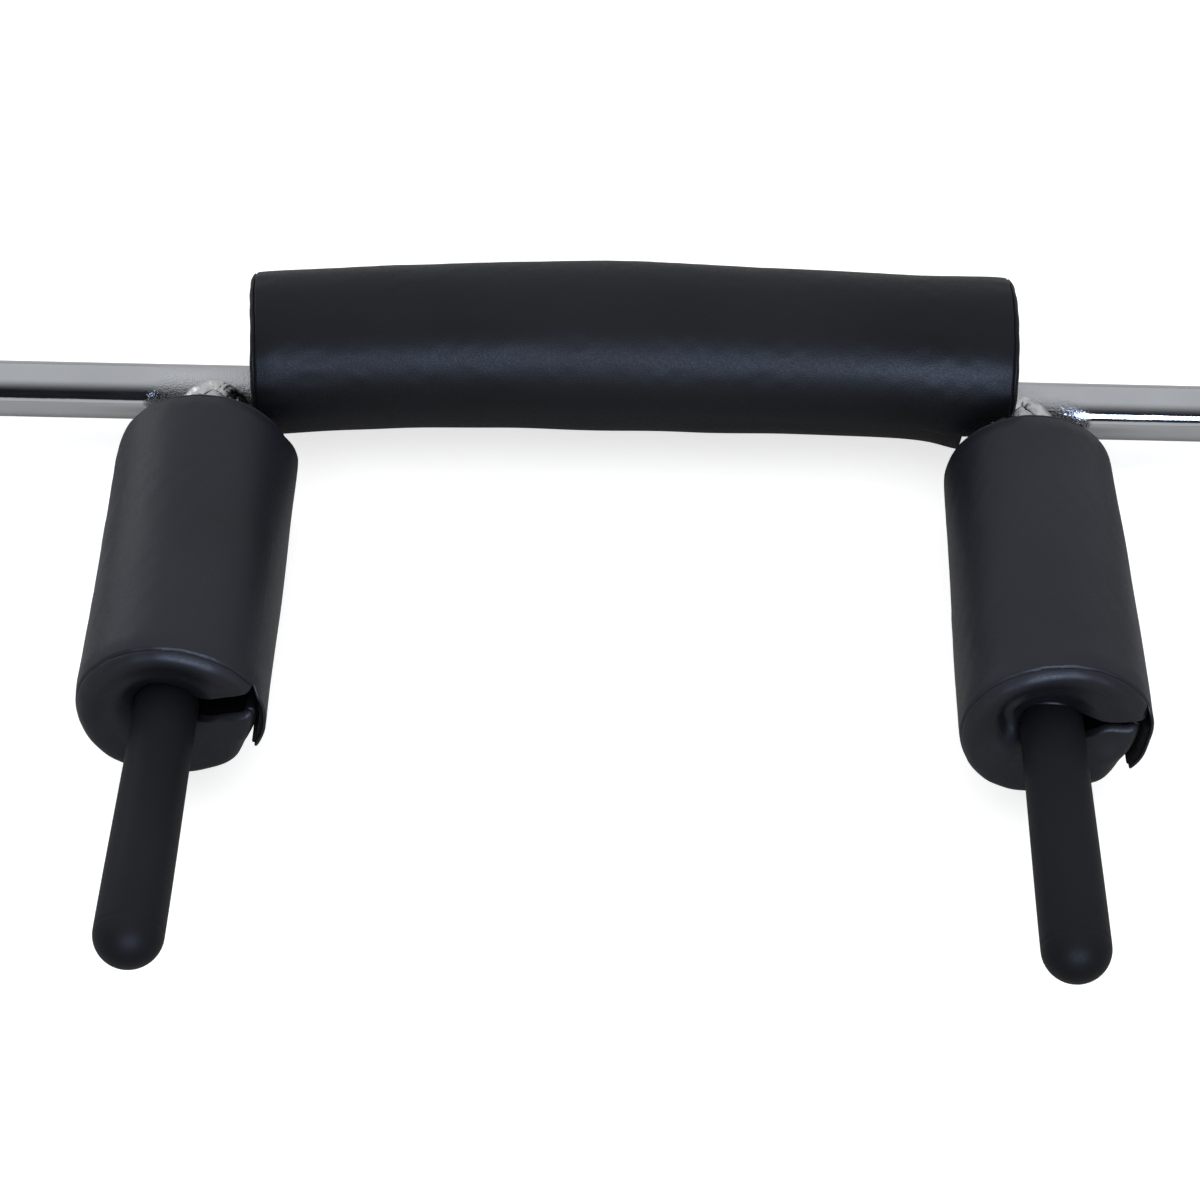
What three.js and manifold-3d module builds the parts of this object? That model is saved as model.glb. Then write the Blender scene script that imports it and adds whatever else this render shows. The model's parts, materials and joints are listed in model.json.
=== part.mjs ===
// A safety squat bar: a straight chromed shaft with turning plate sleeves, a thick neck pad,
// and a welded yoke of two forward arms, each with a shoulder pad and a domed hand grip.
// Millimetres, +Z up. X runs along the shaft, and the arms point along -Y.
// The bar lies on a floor at z = 0, on its two plate stops and its two shoulder pads.
import * as THREE from "three";
import { mergeVertices } from "three/addons/utils/BufferGeometryUtils.js";
import Module from "manifold-3d";

const wasm = await Module();
wasm.setup();

// ---------------------------------------------------------------- driving dimensions
const GAP = 0.3; // clearance that separate pieces keep
const ROUND = 32; // facets round an outer turned piece
const ROUND_INSIDE = 24; // and round one that sits inside the sleeves
const ROUND_STOP = 48;
const ARC_STEP = 8; // degrees between points on a pad's arcs

const SHAFT_R = 15;
const OVERALL_LENGTH = 2184;
const BETWEEN_STOPS = 1310; // clear shaft between the two plate stops

const JOURNAL_R = 14; // the shaft's turned ends, inside the sleeves
const JOURNAL_END = 1068; // from the middle of the bar
const GROOVE = { at: 1052, width: 2.4, r: 12.8 }; // for the retaining ring

const STOP_R = 39;
const STOP_BOSS_R = 32;
const STOP_LENGTH = 30;
const SLEEVE_R = 24.75;
const SLEEVE_BORE_R = 19;
const BUSHING_LENGTH = 60;
const BUSHING_BORE_R = 14.4;
const WASHER = { r: 23, bore: 14.4, thick: 2 };
const CAP_THICK = 4;
const CAP_SPIGOT = 10;

const ARM_SPACING = 430; // between the two arms' centre lines
const ARM_R = 14;
const ARM_BORE_R = 10.5;
const ARM_LENGTH = 350; // from the shaft's axis to the tube's end
const WELD_R = 19.5; // outer radius of the weld bead round an arm
const WELD_THROAT = 6; // how far the bead stands off the shaft's surface

const GRIP_START = 222; // from the shaft's axis
const GRIP_TIP = 366;
const GRIP_R = 15.5; // at the pad, swelling to the dome
const GRIP_DOME_R = 16.3;

const PAD_R = 46.4; // shoulder pads
const PAD_START = 45; // from the shaft's axis
const PAD_END = 221.5;
const PAD_OFFSET = 2.5; // the foam is thicker on the slit side of the arm
const PAD_SLIT = 6;

const NECK_R = 44.3;
const NECK_FROM = -193;
const NECK_TO = 210;
const NECK_OFFSET = 27.2; // the shaft lies this far from the neck pad's centre
const NECK_LIFT = 42.4; // degrees by which the neck pad leans up behind the shaft
const NECK_CHANNEL = 31; // width of the channel that the shaft lies in
const NECK_FLAP_FROM = -184;
const NECK_FLAP_TO = 184;

const PANEL = 1.6; // padded cover
const STRIP = 0.6; // hook and loop tapes
const FLAP = 1.2;
const END_PANEL = 1.8;
const TAPE_INSET = 6; // tapes stop this far inside a flap's ends

// The arms rise until the stops and the shoulder pads' rear rims touch the floor together.
const TILT = Math.acos(STOP_R / Math.hypot(PAD_R, PAD_START)) - Math.atan2(PAD_START, PAD_R);

// ---------------------------------------------------------------- materials
const finish = (color, roughness, metalness) => ({ color, roughness, metalness });
const CHROME = finish(0xcfd2d6, 0.08, 1);
const WELD = finish(0xb4b7bb, 0.3, 1);
const BRONZE = finish(0xa97c3c, 0.4, 1);
const SPRING_STEEL = finish(0x4c4d50, 0.4, 1);
const RUBBER = finish(0x17181a, 0.6, 0);
const LEATHERETTE = finish(0x222326, 0.5, 0);
const FOAM = finish(0x3a3a3a, 0.95, 0);
const TAPE = finish(0x0e0e0f, 0.95, 0);

function piece(name, geometry, look) {
  const mesh = new THREE.Mesh(geometry, new THREE.MeshStandardMaterial(look));
  mesh.name = name;
  return mesh;
}

// ---------------------------------------------------------------- shapes
const rad = THREE.MathUtils.degToRad;

// A turned solid about X. Points are [along X, radius] in either order, and a profile that
// leaves the axis closes on itself.
function turned(points, facets = ROUND) {
  const outline = points.map(([x, r]) => new THREE.Vector2(r, x));
  if (THREE.ShapeUtils.isClockWise(outline)) outline.reverse();
  if (points[0][1] !== 0) outline.push(outline[0].clone());
  return new THREE.LatheGeometry(outline, facets).rotateZ(-Math.PI / 2).rotateX(Math.PI / facets);
}

// A turned ring about X between two radii.
function ring(from, to, inner, outer, facets = ROUND) {
  return turned([[from, inner], [from, outer], [to, outer], [to, inner]], facets);
}

function rod(from, to, r, facets = ROUND) {
  return turned([[from, 0], [from, r], [to, r], [to, 0]], facets);
}

// A flat outline in XY, drawn out along Z between two heights.
function drawnOut(outline, from, to) {
  const options = { depth: to - from, bevelEnabled: false, steps: 1 };
  return new THREE.ExtrudeGeometry(new THREE.Shape(outline), options).translate(0, 0, from);
}

// Points on an arc of radius r about (cx, 0), from one angle to another in degrees.
function arc(r, from, to, cx = 0) {
  const steps = Math.max(1, Math.ceil(Math.abs(to - from) / ARC_STEP));
  return Array.from({ length: steps + 1 }, (_, i) => {
    const a = rad(from + ((to - from) * i) / steps);
    return new THREE.Vector2(cx + r * Math.cos(a), r * Math.sin(a));
  });
}

// A curved strip between two radii.
const strip = (inner, outer, from, to) => [...arc(outer, from, to), ...arc(inner, to, from)];

function solid(geometry) {
  const bare = geometry.index ? geometry.toNonIndexed() : geometry.clone();
  bare.deleteAttribute("normal");
  bare.deleteAttribute("uv");
  const merged = mergeVertices(bare, 1e-3);
  return new wasm.Manifold(
    new wasm.Mesh({
      numProp: 3,
      vertProperties: merged.attributes.position.array,
      triVerts: new Uint32Array(merged.index.array),
    }),
  );
}

function toGeometry(manifold) {
  const mesh = manifold.getMesh();
  return new THREE.BufferGeometry()
    .setAttribute("position", new THREE.BufferAttribute(mesh.vertProperties, 3))
    .setIndex(new THREE.BufferAttribute(mesh.triVerts, 1));
}

const cut = (geometry, ...tools) =>
  toGeometry(tools.reduce((body, tool) => body.subtract(solid(tool)), solid(geometry)));

const common = (geometry, tool) => toGeometry(solid(geometry).intersect(solid(tool)));

// ---------------------------------------------------------------- shaft
const STOP_FACE = BETWEEN_STOPS / 2;
const SHOULDER = STOP_FACE - GAP;

function shaft() {
  const half = [
    [SHOULDER, SHAFT_R],
    [SHOULDER, JOURNAL_R],
    [GROOVE.at, JOURNAL_R],
    [GROOVE.at, GROOVE.r],
    [GROOVE.at + GROOVE.width, GROOVE.r],
    [GROOVE.at + GROOVE.width, JOURNAL_R],
    [JOURNAL_END - 1.5, JOURNAL_R],
    [JOURNAL_END, JOURNAL_R - 1.5],
    [JOURNAL_END, 0],
  ];
  const other = half.map(([x, r]) => [-x, r]).reverse();
  return piece("main_shaft", turned([...other, ...half]), CHROME);
}

// ---------------------------------------------------------------- sleeves
// Everything that turns on one end of the shaft, or holds it there. The end at -X is the
// same set turned half round the Z axis.
function shaftEnd(side) {
  const end = new THREE.Group();
  if (side === "left") end.rotation.z = Math.PI;
  const start = STOP_FACE + WASHER.thick + GAP;
  const sleeveEnd = OVERALL_LENGTH / 2 - CAP_THICK;
  const ringAt = GROOVE.at + GROOVE.width / 2;
  const stop = [
    [start, SLEEVE_R + GAP],
    [start, STOP_R - 2],
    [start + 2, STOP_R],
    [start + 10, STOP_R],
    [start + 12, STOP_BOSS_R],
    [start + STOP_LENGTH - 8, STOP_BOSS_R],
    [start + STOP_LENGTH - 8, STOP_R - 1],
    [start + STOP_LENGTH, STOP_R - 1],
    [start + STOP_LENGTH, SLEEVE_R + GAP],
  ];
  const sleeve = [
    [start, SLEEVE_BORE_R],
    [start, SLEEVE_R],
    [sleeveEnd - 1.5, SLEEVE_R],
    [sleeveEnd, SLEEVE_R - 1.5],
    [sleeveEnd, SLEEVE_BORE_R],
  ];
  const cap = [
    [sleeveEnd - CAP_SPIGOT, 0],
    [sleeveEnd - CAP_SPIGOT, SLEEVE_BORE_R - GAP],
    [sleeveEnd + GAP, SLEEVE_BORE_R - GAP],
    [sleeveEnd + GAP, SLEEVE_R - 1],
    [sleeveEnd + CAP_THICK - 1, SLEEVE_R - 1],
    [sleeveEnd + CAP_THICK, SLEEVE_R - 3],
    [sleeveEnd + CAP_THICK, 0],
  ];
  const inner = (from, length, bore, r) => ring(from, from + length, bore, r, ROUND_INSIDE);
  const bushing = (from) => inner(from, BUSHING_LENGTH, BUSHING_BORE_R, SLEEVE_BORE_R - GAP);
  const washer = inner(STOP_FACE, WASHER.thick, WASHER.bore, WASHER.r);
  const snap = [...arc(16.5, 20, 340), ...arc(GROOVE.r + GAP, 340, 20)];
  const ringBack = GROOVE.width / 2 - GAP;
  const retainer = drawnOut(snap, -ringBack, ringBack).rotateY(Math.PI / 2).translate(ringAt, 0, 0);
  end.add(
    piece(`plate_stop_${side}`, turned(stop, ROUND_STOP), CHROME),
    piece(`plate_sleeve_${side}`, turned(sleeve), CHROME),
    piece(`sleeve_end_cap_${side}`, turned(cap), RUBBER),
    piece(`inner_bushing_${side}`, bushing(start + 1), BRONZE),
    piece(`outer_bushing_${side}`, bushing(GROOVE.at - 1 - BUSHING_LENGTH), BRONZE),
    piece(`thrust_washer_${side}`, washer, BRONZE),
    piece(`retaining_ring_${side}`, retainer, SPRING_STEEL),
  );
  return end;
}

// ---------------------------------------------------------------- yoke arms
// Each arm is drawn along +X from the shaft's axis and then turned to point along -Y.
function arm(side, x) {
  const out = new THREE.Group();
  out.position.x = x;
  out.rotation.z = -Math.PI / 2;
  const alongShaft = (r) => rod(-2 * WELD_R, 2 * WELD_R, r).rotateZ(Math.PI / 2);
  const shaftRoom = alongShaft(SHAFT_R + GAP);
  const tube = cut(ring(SHAFT_R / 2, ARM_LENGTH, ARM_BORE_R, ARM_R), shaftRoom);
  const collar = ring(SHAFT_R / 3, SHAFT_R + WELD_THROAT, ARM_R + GAP, WELD_R);
  const bead = cut(common(collar, alongShaft(SHAFT_R + WELD_THROAT)), shaftRoom);
  out.add(
    piece(`arm_tube_${side}`, tube, CHROME),
    piece(`weld_bead_${side}`, bead, WELD),
    piece(`hand_grip_${side}`, grip(), RUBBER),
  );
  return out;
}

// A moulded grip with a blind bore and a domed end.
function grip() {
  const domeSteps = 6;
  const domeAt = GRIP_TIP - GRIP_DOME_R;
  const dome = Array.from({ length: domeSteps }, (_, i) => {
    const a = (i / domeSteps) * (Math.PI / 2);
    return [domeAt + GRIP_DOME_R * Math.sin(a), GRIP_DOME_R * Math.cos(a)];
  });
  return turned([
    [ARM_LENGTH + GAP, 0],
    [ARM_LENGTH + GAP, ARM_R + GAP],
    [GRIP_START, ARM_R + GAP],
    [GRIP_START, GRIP_R],
    ...dome,
    [GRIP_TIP, 0],
  ]);
}

// ---------------------------------------------------------------- split round pads
// A pad is drawn in XY and drawn out along Z, with its slit towards +X. Its cover steps in
// beside the slit, from the angle root on one side to lap on the other. The flap lies in that
// step: it hangs from the cover at root, crosses the slit and is fastened by two tapes.
const STEP_RUN = 1.5; // degrees that a step takes

// Radii of the layers under a flap whose outside is at r.
function layersUnder(r) {
  const flapIn = r - FLAP;
  const hookIn = flapIn - GAP - STRIP;
  const loopIn = hookIn - GAP - STRIP;
  const stepOut = loopIn - GAP;
  const panelIn = r - PANEL;
  const stepIn = stepOut - PANEL + GAP;
  return { flapIn, hookIn, loopIn, stepOut, panelIn, stepIn };
}

const angleOf = (height, r) => THREE.MathUtils.radToDeg(Math.asin(height / r));

// Round from one lip of the slit to the other at radius r, stepped in to low beside the slit.
// Wider steps by ease degrees leave room for the layer outside.
function steppedRound(pad, r, low, ease) {
  const lip = angleOf(pad.slit / 2, low);
  const lap = pad.lap + ease;
  const root = pad.root + ease;
  return [
    ...arc(low, -lip, -lap),
    ...arc(r, -lap - STEP_RUN, root + STEP_RUN - 360),
    ...arc(low, root - 360, lip - 360),
  ];
}

// The same round, filled in to the hole that the steel passes through.
function splitDisc(pad, r, low, ease) {
  const lip = angleOf(pad.slit / 2, pad.hole.r);
  return [...steppedRound(pad, r, low, ease), ...arc(pad.hole.r, lip - 360, -lip, pad.hole.at)];
}

function splitPad(name, pad) {
  const pieces = new THREE.Group();
  const at = layersUnder(pad.r);
  const add = (suffix, outline, [from, to], look) => {
    const turnedOver = outline.map((p) => new THREE.Vector2(p.x, p.y * pad.turn));
    pieces.add(piece(`${name}_${suffix}`, drawnOut(turnedOver, from, to), look));
  };
  const inside = [END_PANEL + GAP, pad.length - END_PANEL - GAP];
  add("foam", splitDisc(pad, at.panelIn - GAP, at.stepIn - GAP, 2 * STEP_RUN), inside, FOAM);
  const lining = steppedRound(pad, at.panelIn, at.stepIn, STEP_RUN).reverse();
  add("cover", [...steppedRound(pad, pad.r, at.stepOut, 0), ...lining], inside, LEATHERETTE);
  const disc = splitDisc(pad, pad.r, at.stepOut, 0);
  add(pad.ends[0], disc, [0, END_PANEL], LEATHERETTE);
  add(pad.ends[1], disc, [pad.length - END_PANEL, pad.length], LEATHERETTE);
  const tape = (inner) => strip(inner, inner + STRIP, 2 - pad.lap, -pad.tapeRoot);
  const tapeSpan = [pad.flap[0] + TAPE_INSET, pad.flap[1] - TAPE_INSET];
  add("loop_tape", tape(at.loopIn), tapeSpan, TAPE);
  add("hook_tape", tape(at.hookIn), tapeSpan, TAPE);
  add("flap", strip(at.flapIn, pad.r, 1 - pad.lap, pad.root - 0.5), pad.flap, LEATHERETTE);
  return pieces;
}

// Runs out along an arm, so Z is turned to -Y and Y to +Z.
function shoulderPad(side, x) {
  const length = PAD_END - PAD_START;
  const pad = splitPad(`shoulder_pad_${side}`, {
    r: PAD_R,
    length,
    hole: { at: -PAD_OFFSET, r: ARM_R + GAP },
    slit: PAD_SLIT,
    root: 15,
    lap: 38,
    tapeRoot: 8,
    flap: [END_PANEL + GAP, length - END_PANEL - GAP],
    turn: 1,
    ends: ["rear_panel", "front_panel"],
  });
  pad.rotation.x = Math.PI / 2;
  pad.position.set(x + PAD_OFFSET, -PAD_START, 0);
  return pad;
}

// Lies along the shaft, with its channel turned down and forward. The flap hangs from the
// front, passes under the shaft and is fastened behind it, between the two arms.
function neckPad() {
  const turn = -1;
  const pad = splitPad("neck_pad", {
    r: NECK_R,
    length: NECK_TO - NECK_FROM,
    hole: { at: NECK_OFFSET, r: NECK_CHANNEL / 2 },
    slit: NECK_CHANNEL,
    root: 27,
    lap: 40,
    tapeRoot: 24,
    flap: [NECK_FLAP_FROM - NECK_FROM, NECK_FLAP_TO - NECK_FROM],
    turn,
    ends: ["left_panel", "right_panel"],
  });
  const lean = rad(NECK_LIFT);
  const channelTo = new THREE.Vector3(0, -Math.sin(rad(90) - lean), -Math.sin(lean));
  const along = new THREE.Vector3(1, 0, 0);
  const across = new THREE.Vector3().crossVectors(along, channelTo);
  pad.quaternion.setFromRotationMatrix(new THREE.Matrix4().makeBasis(channelTo, across, along));
  pad.position.copy(channelTo).multiplyScalar(-NECK_OFFSET).setX(NECK_FROM);
  pad.updateMatrix();
  const toPad = pad.matrix.clone().invert();
  for (const x of ARMS_AT) {
    const room = rod(0, 2 * NECK_R, WELD_R + GAP).rotateZ(-Math.PI / 2).translate(x, 0, 0);
    const tool = room.applyMatrix4(toPad);
    for (const part of pad.children.filter((p) => reaches(p, tool))) {
      part.geometry = cut(part.geometry, tool);
    }
  }
  return pad;
}

function reaches(part, tool) {
  part.geometry.computeBoundingBox();
  tool.computeBoundingBox();
  return part.geometry.boundingBox.intersectsBox(tool.boundingBox);
}

// ---------------------------------------------------------------- the whole bar
const ARMS_AT = [-ARM_SPACING / 2, ARM_SPACING / 2];
const SIDES = ["left", "right"];

const yoke = new THREE.Group();
yoke.rotation.x = -TILT;
yoke.add(neckPad());
SIDES.forEach((side, i) => yoke.add(arm(side, ARMS_AT[i]), shoulderPad(side, ARMS_AT[i])));

const bar = new THREE.Group();
bar.add(shaft(), yoke, ...SIDES.map(shaftEnd));

// The origin is under the middle of the bar's box, on the floor.
const box = new THREE.Box3().setFromObject(bar, true);
const middle = box.getCenter(new THREE.Vector3());
bar.position.set(-middle.x, -middle.y, -box.min.z);

export default bar;
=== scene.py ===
"""A safety squat bar: chromed shaft and arms, leatherette pads with flaps, moulded grips.

Lengths are millimetres in each piece's own axes, and angles are degrees, unless a comment says
otherwise. new_object() takes a finished mesh into the row frame, in metres.
"""
import json
import math

import bmesh
import bpy
import numpy as np
from mathutils import Matrix, Vector, noise


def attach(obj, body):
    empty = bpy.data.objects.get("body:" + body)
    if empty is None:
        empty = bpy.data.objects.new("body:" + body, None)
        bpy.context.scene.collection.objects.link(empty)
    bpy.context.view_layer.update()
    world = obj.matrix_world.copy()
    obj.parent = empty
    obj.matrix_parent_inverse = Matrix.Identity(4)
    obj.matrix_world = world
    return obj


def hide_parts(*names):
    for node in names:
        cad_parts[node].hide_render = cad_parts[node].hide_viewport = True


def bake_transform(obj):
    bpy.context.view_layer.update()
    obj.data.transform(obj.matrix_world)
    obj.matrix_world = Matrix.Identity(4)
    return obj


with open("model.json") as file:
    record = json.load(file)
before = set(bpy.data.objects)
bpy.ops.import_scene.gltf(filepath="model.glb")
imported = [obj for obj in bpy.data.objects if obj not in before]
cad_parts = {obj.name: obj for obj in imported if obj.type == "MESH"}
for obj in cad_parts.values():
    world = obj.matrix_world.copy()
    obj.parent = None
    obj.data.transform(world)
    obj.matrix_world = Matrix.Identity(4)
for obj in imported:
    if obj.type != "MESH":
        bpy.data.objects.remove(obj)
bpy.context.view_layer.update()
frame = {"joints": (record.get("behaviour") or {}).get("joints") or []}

MM = 0.001

# ---------------- sizes, as in the CAD model
SHAFT_R = 15.0
ARM_R = 14.0
ARM_BORE_R = 10.5
ARM_END = 350.0
GRIP_START = 222.0
GRIP_TIP = 366.0
GRIP_R = 15.5
GRIP_DOME_R = 16.3
PAD_R = 46.4
PAD_START = 45.0
PAD_END = 221.5
PAD_OFFSET = 2.5
NECK_FROM = -193.0
NECK_TO = 210.0
NECK_FLAP = (-184.0, 184.0)
NECK_LEAN = 42.4  # how far below the arms the neck pad's channel opens
SIDES = {"left": -1, "right": 1}

# ---------------- the frame's own axes
JOINTS = {j["name"]: j for j in frame["joints"]}
X_AXIS = Vector((1, 0, 0))
SHAFT_AT = Vector((0, *JOINTS["left_sleeve_spin"]["pos_m"][1:]))
ARM_WAY = Vector(JOINTS["left_shoulder_flap_hinge"]["axis"]).normalized()
YOKE_UP = ARM_WAY.cross(X_AXIS)
ARM_X = 215.0  # each arm's distance from the middle of the bar


def axes(right, up, out, origin):
    """A matrix from a piece's own millimetres to the row frame."""
    turn = Matrix((right, up, out)).transposed().to_4x4()
    return Matrix.Translation(origin) @ turn @ Matrix.Scale(MM, 4)


# Along each half of the shaft: Z points out towards that end of the bar.
END_FRAMES = {
    side: axes(ARM_WAY, -sign * YOKE_UP, sign * X_AXIS, SHAFT_AT) for side, sign in SIDES.items()
}
SHAFT_FRAME = END_FRAMES["right"]


def arm_frame(side):
    """Out along an arm: X to the right, Y up and Z away from the shaft."""
    return axes(X_AXIS, YOKE_UP, ARM_WAY, SHAFT_AT + X_AXIS * SIDES[side] * ARM_X * MM)


def neck_frame():
    """Along the shaft, with X towards the mouth of the neck pad's channel."""
    a = math.radians(90 - NECK_LEAN)
    mouth = ARM_WAY * math.sin(a) - YOKE_UP * math.cos(a)
    return axes(mouth, X_AXIS.cross(mouth), X_AXIS, SHAFT_AT)


# ---------------- mesh tools
def new_object(name, points, faces, frame_matrix, crease=50):
    """A closed mesh, smooth but for edges sharper than crease degrees."""
    mesh = bpy.data.meshes.new(name)
    mesh.from_pydata([tuple(p) for p in points], [], [tuple(f) for f in faces])
    mesh.transform(frame_matrix)
    mesh.shade_smooth()
    mesh.set_sharp_from_angle(angle=math.radians(crease))
    mesh.update()
    made = bpy.data.objects.new(name, mesh)
    bpy.context.scene.collection.objects.link(made)
    return made


def coat(made, look):
    made.data.materials.clear()
    made.data.materials.append(look)


def finish_piece(made, look, body, slot, replaces=()):
    """Gives a piece its material and its body; slot is not used."""
    coat(made, look)
    if body:
        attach(made, body)
    if replaces:
        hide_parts(*replaces)
    return made


def turned(name, profile, frame_matrix, facets=128, closed=False):
    """A turned solid about Z. The profile is [(radius, z)]; it starts and ends on the axis,
    or is closed on itself."""
    angles = np.linspace(0, 2 * math.pi, facets, endpoint=False)
    rings, points, faces = [], [], []
    for r, z in profile:
        if r < 1e-9:
            rings.append([len(points)] * facets)
            points.append((0, 0, z))
        else:
            rings.append(list(range(len(points), len(points) + facets)))
            points += [(r * math.cos(a), r * math.sin(a), z) for a in angles]
    pairs = list(zip(rings, rings[1:]))
    if closed:
        pairs.append((rings[-1], rings[0]))
    for low, high in pairs:
        for i in range(facets):
            j = (i + 1) % facets
            face = [low[i], low[j], high[j], high[i]]
            faces.append(tuple(dict.fromkeys(face)))
    return out_facing(new_object(name, points, [f for f in faces if len(f) > 2], frame_matrix))


def out_facing(made):
    bm = bmesh.new()
    bm.from_mesh(made.data)
    bmesh.ops.recalc_face_normals(bm, faces=bm.faces)
    bm.to_mesh(made.data)
    bm.free()
    made.data.update()
    return made


def ring_faces(rings, around):
    """Quads that join closed rings of points to each other, and the last ring to the first."""
    index = np.arange(rings * around).reshape(rings, around)
    return [
        (a[i], a[j], b[j], b[i])
        for a, b in zip(index, np.roll(index, -1, axis=0))
        for i, j in ((i, (i + 1) % around) for i in range(around))
    ]


def fillet(r0, z0, r1, z1, steps=5):
    """Points on a quarter ellipse from (r0, z0) to (r1, z1), leaving along z."""
    turn = np.linspace(0, math.pi / 2, steps)
    return [(r1 + (r0 - r1) * math.cos(t), z0 + (z1 - z0) * math.sin(t)) for t in turn]


def box_grid(*stations):
    """The closed skin of a box, gridded at the given stations along its three ways. Gives each
    point's place in the box, the quads, and for each side its two ways and its points."""
    index, points, faces, sides = {}, [], [], []
    for k in range(3):
        a, b = (k + 1) % 3, (k + 2) % 3
        for end in (0, len(stations[k]) - 1):
            numbers = np.empty((len(stations[a]), len(stations[b])), int)
            for i, j in np.ndindex(numbers.shape):
                cell = [0, 0, 0]
                cell[k], cell[a], cell[b] = end, i, j
                key = tuple(cell)
                if key not in index:
                    index[key] = len(points)
                    points.append([stations[way][cell[way]] for way in range(3)])
                numbers[i, j] = index[key]
            corners = (numbers[:-1, :-1], numbers[1:, :-1], numbers[1:, 1:], numbers[:-1, 1:])
            quads = np.stack(corners, -1).reshape(-1, 4)
            faces += list(quads if end else quads[:, ::-1])
            sides.append((a, b, numbers))
    return np.array(points, float), faces, sides


def graded(length, fine, coarse, edge):
    """Stations from 0 to length: fine steps within edge of each end, and coarse between."""
    near = np.arange(0, edge, fine)
    middle = np.linspace(edge, length - edge, max(2, round((length - 2 * edge) / coarse) + 1))
    return np.concatenate([near, middle, length - near[::-1]])


def rounded(p, size, radius):
    """Rounds a box's edges and corners: a point within radius of an edge moves onto an arc."""
    inner = np.clip(p, radius, np.asarray(size) - radius)
    away = p - inner
    reach = np.linalg.norm(away, axis=1, keepdims=True)
    return np.where(reach > 1e-9, inner + radius * away / np.maximum(reach, 1e-9), p)


def smooth_step(t):
    t = np.clip(t, 0, 1)
    return t * t * (3 - 2 * t)


def bump_at(x, centre, width):
    return np.exp(-(((x - centre) / width) ** 2))


def fbm(points, scale, seed, octaves):
    """Smooth noise of about -1 to 1 at each point."""
    shift = Vector((seed, -seed, 2 * seed))
    return np.array([noise.fractal(Vector(p) * scale + shift, 0.8, 2.0, octaves) for p in points])


# ---------------- materials
def material(name, base, roughness, metallic=0.0, shine=0.5):
    """A new material, its node tree and its main shader."""
    made = bpy.data.materials.new(name)
    made.use_nodes = True
    tree = made.node_tree
    shader = tree.nodes["Principled BSDF"]
    shader.inputs["Base Color"].default_value = (*base, 1)
    shader.inputs["Roughness"].default_value = roughness
    shader.inputs["Metallic"].default_value = metallic
    shader.inputs["Specular IOR Level"].default_value = shine
    return made, tree, shader


def node(tree, kind, **settings):
    """A new shader node, with its inputs and its options set."""
    made = tree.nodes.new("ShaderNode" + kind)
    for key, value in settings.items():
        if key in made.inputs:
            made.inputs[key].default_value = value
        else:
            setattr(made, key, value)
    return made


def object_place(tree, stretch=(1, 1, 1)):
    """Object coordinates, stretched by a scale."""
    place = node(tree, "TexCoord")
    scaled = node(tree, "Mapping", Scale=stretch)
    tree.links.new(place.outputs["Object"], scaled.inputs["Vector"])
    return scaled.outputs["Vector"]


def noise_map(tree, where, scale, detail=3.0, rough=0.5):
    made = node(tree, "TexNoise", Scale=scale, Detail=detail, Roughness=rough)
    tree.links.new(where, made.inputs["Vector"])
    return made.outputs["Fac"]


def ramp(tree, source, low, high, low_at=0.3, high_at=0.7):
    """The source between two values or two colours."""
    made = node(tree, "ValToRGB")
    colour = [c if isinstance(c, tuple) else (c, c, c) for c in (low, high)]
    for stop, at, rgb in zip(made.color_ramp.elements, (low_at, high_at), colour):
        stop.position = at
        stop.color = (*rgb, 1)
    tree.links.new(source, made.inputs["Fac"])
    return made.outputs["Color"]


def bump(tree, shader, heights):
    """Chains bumps onto the shader. Heights are (source, depth in metres, strength)."""
    last = None
    for source, depth, strength in heights:
        made = node(tree, "Bump", Distance=depth, Strength=strength)
        tree.links.new(source, made.inputs["Height"])
        if last:
            tree.links.new(last, made.inputs["Normal"])
        last = made.outputs["Normal"]
    tree.links.new(last, shader.inputs["Normal"])


def calculated(tree, operation, *sources):
    """The result of a Math node. Each source is a socket or a number."""
    made = node(tree, "Math", operation=operation)
    for socket, source in zip(made.inputs, sources):
        if isinstance(source, float):
            socket.default_value = source
        else:
            tree.links.new(source, socket)
    return made.outputs["Value"]


def faded(tree, source, start, end):
    """0 on one side of start, rising smoothly to 1 at end."""
    made = node(tree, "MapRange", interpolation_type="SMOOTHSTEP")
    made.inputs["From Min"].default_value = start
    made.inputs["From Max"].default_value = end
    tree.links.new(source, made.inputs["Value"])
    return made.outputs["Result"]


def band(tree, source, centre, reach, fade):
    """1 where the source is within reach of the centre, falling to 0 over fade."""
    off = calculated(tree, "ABSOLUTE", calculated(tree, "SUBTRACT", source, centre * MM))
    return faded(tree, off, (reach + fade) * MM, reach * MM)


def place_parts(tree, kind="Object"):
    """The X, Y and Z of a point's coordinates."""
    place = node(tree, "TexCoord")
    split = node(tree, "SeparateXYZ")
    tree.links.new(place.outputs[kind], split.inputs["Vector"])
    return split.outputs


# Where welding marked the steel, and where a dark reflection and shade of the black pads is painted
# beside the left weld, as bands: centre, reach and fade.
SHAFT_Y = SHAFT_AT.y / MM
SPATTER_ALONG = (ARM_X, 20, 22)  # from the middle of the bar, either way
SPATTER_ACROSS = (SHAFT_Y - 20, 22, 12)  # on the side that the arms leave from
# A painted reflection and shade of the black pads, darkening the chrome and weld beside the left
# arm's joint.
PAINTED_PAD_REFLECTION_ALONG = (10.5 - ARM_X, 2, 7.5)
PAINTED_PAD_REFLECTION_ACROSS = (SHAFT_Y - 30, 20, 6)
PAINTED_PAD_REFLECTION = (0.022, 0.020, 0.018)


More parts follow.
